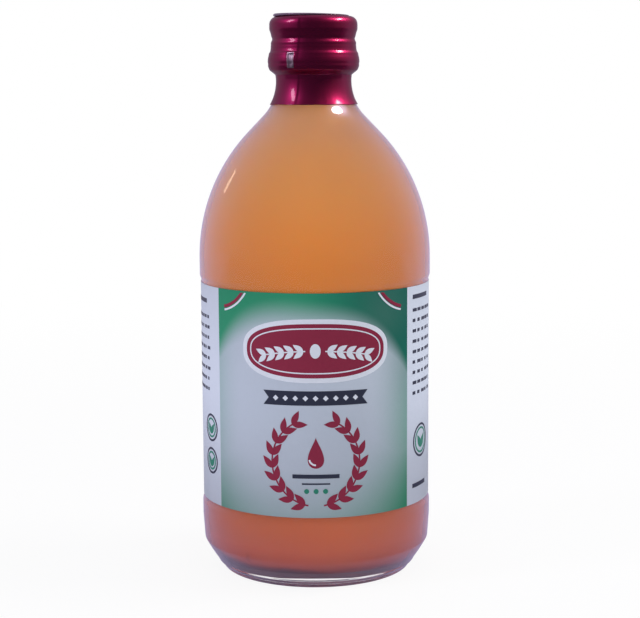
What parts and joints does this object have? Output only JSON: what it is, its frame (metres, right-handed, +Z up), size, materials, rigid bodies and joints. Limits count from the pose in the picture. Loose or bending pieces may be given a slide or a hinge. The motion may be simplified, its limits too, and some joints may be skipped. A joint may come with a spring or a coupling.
{
  "type": "vinegar bottle",
  "caption": "Sealed clear glass bottle filled with cloudy amber vinegar, with a rounded shoulder, a wrap-round label and a maroon shrink capsule over its screw cap.",
  "frame": {"origin": "centre of the foot ring, on the plane that the bottle stands on", "axes": "+Z up along the bottle's axis; -Y towards the middle of the label's front; +X to the right as seen from the front"},
  "size_m": [0.0767, 0.0766, 0.1841],
  "materials": {
    "glass": "clear flint glass",
    "vinegar": "cloudy amber liquid",
    "cap_metal": "maroon lacquered sheet",
    "capsule_film": "metallised maroon shrink film",
    "label_paper": "smooth coated paper, green and white print"
  },
  "bodies": {
    "root": {"bottle": "glass", "vinegar": "vinegar", "cap": "cap_metal", "capsule": "capsule_film", "capsule_disc": "capsule_film", "label": "label_paper"}
  },
  "joints": []
}
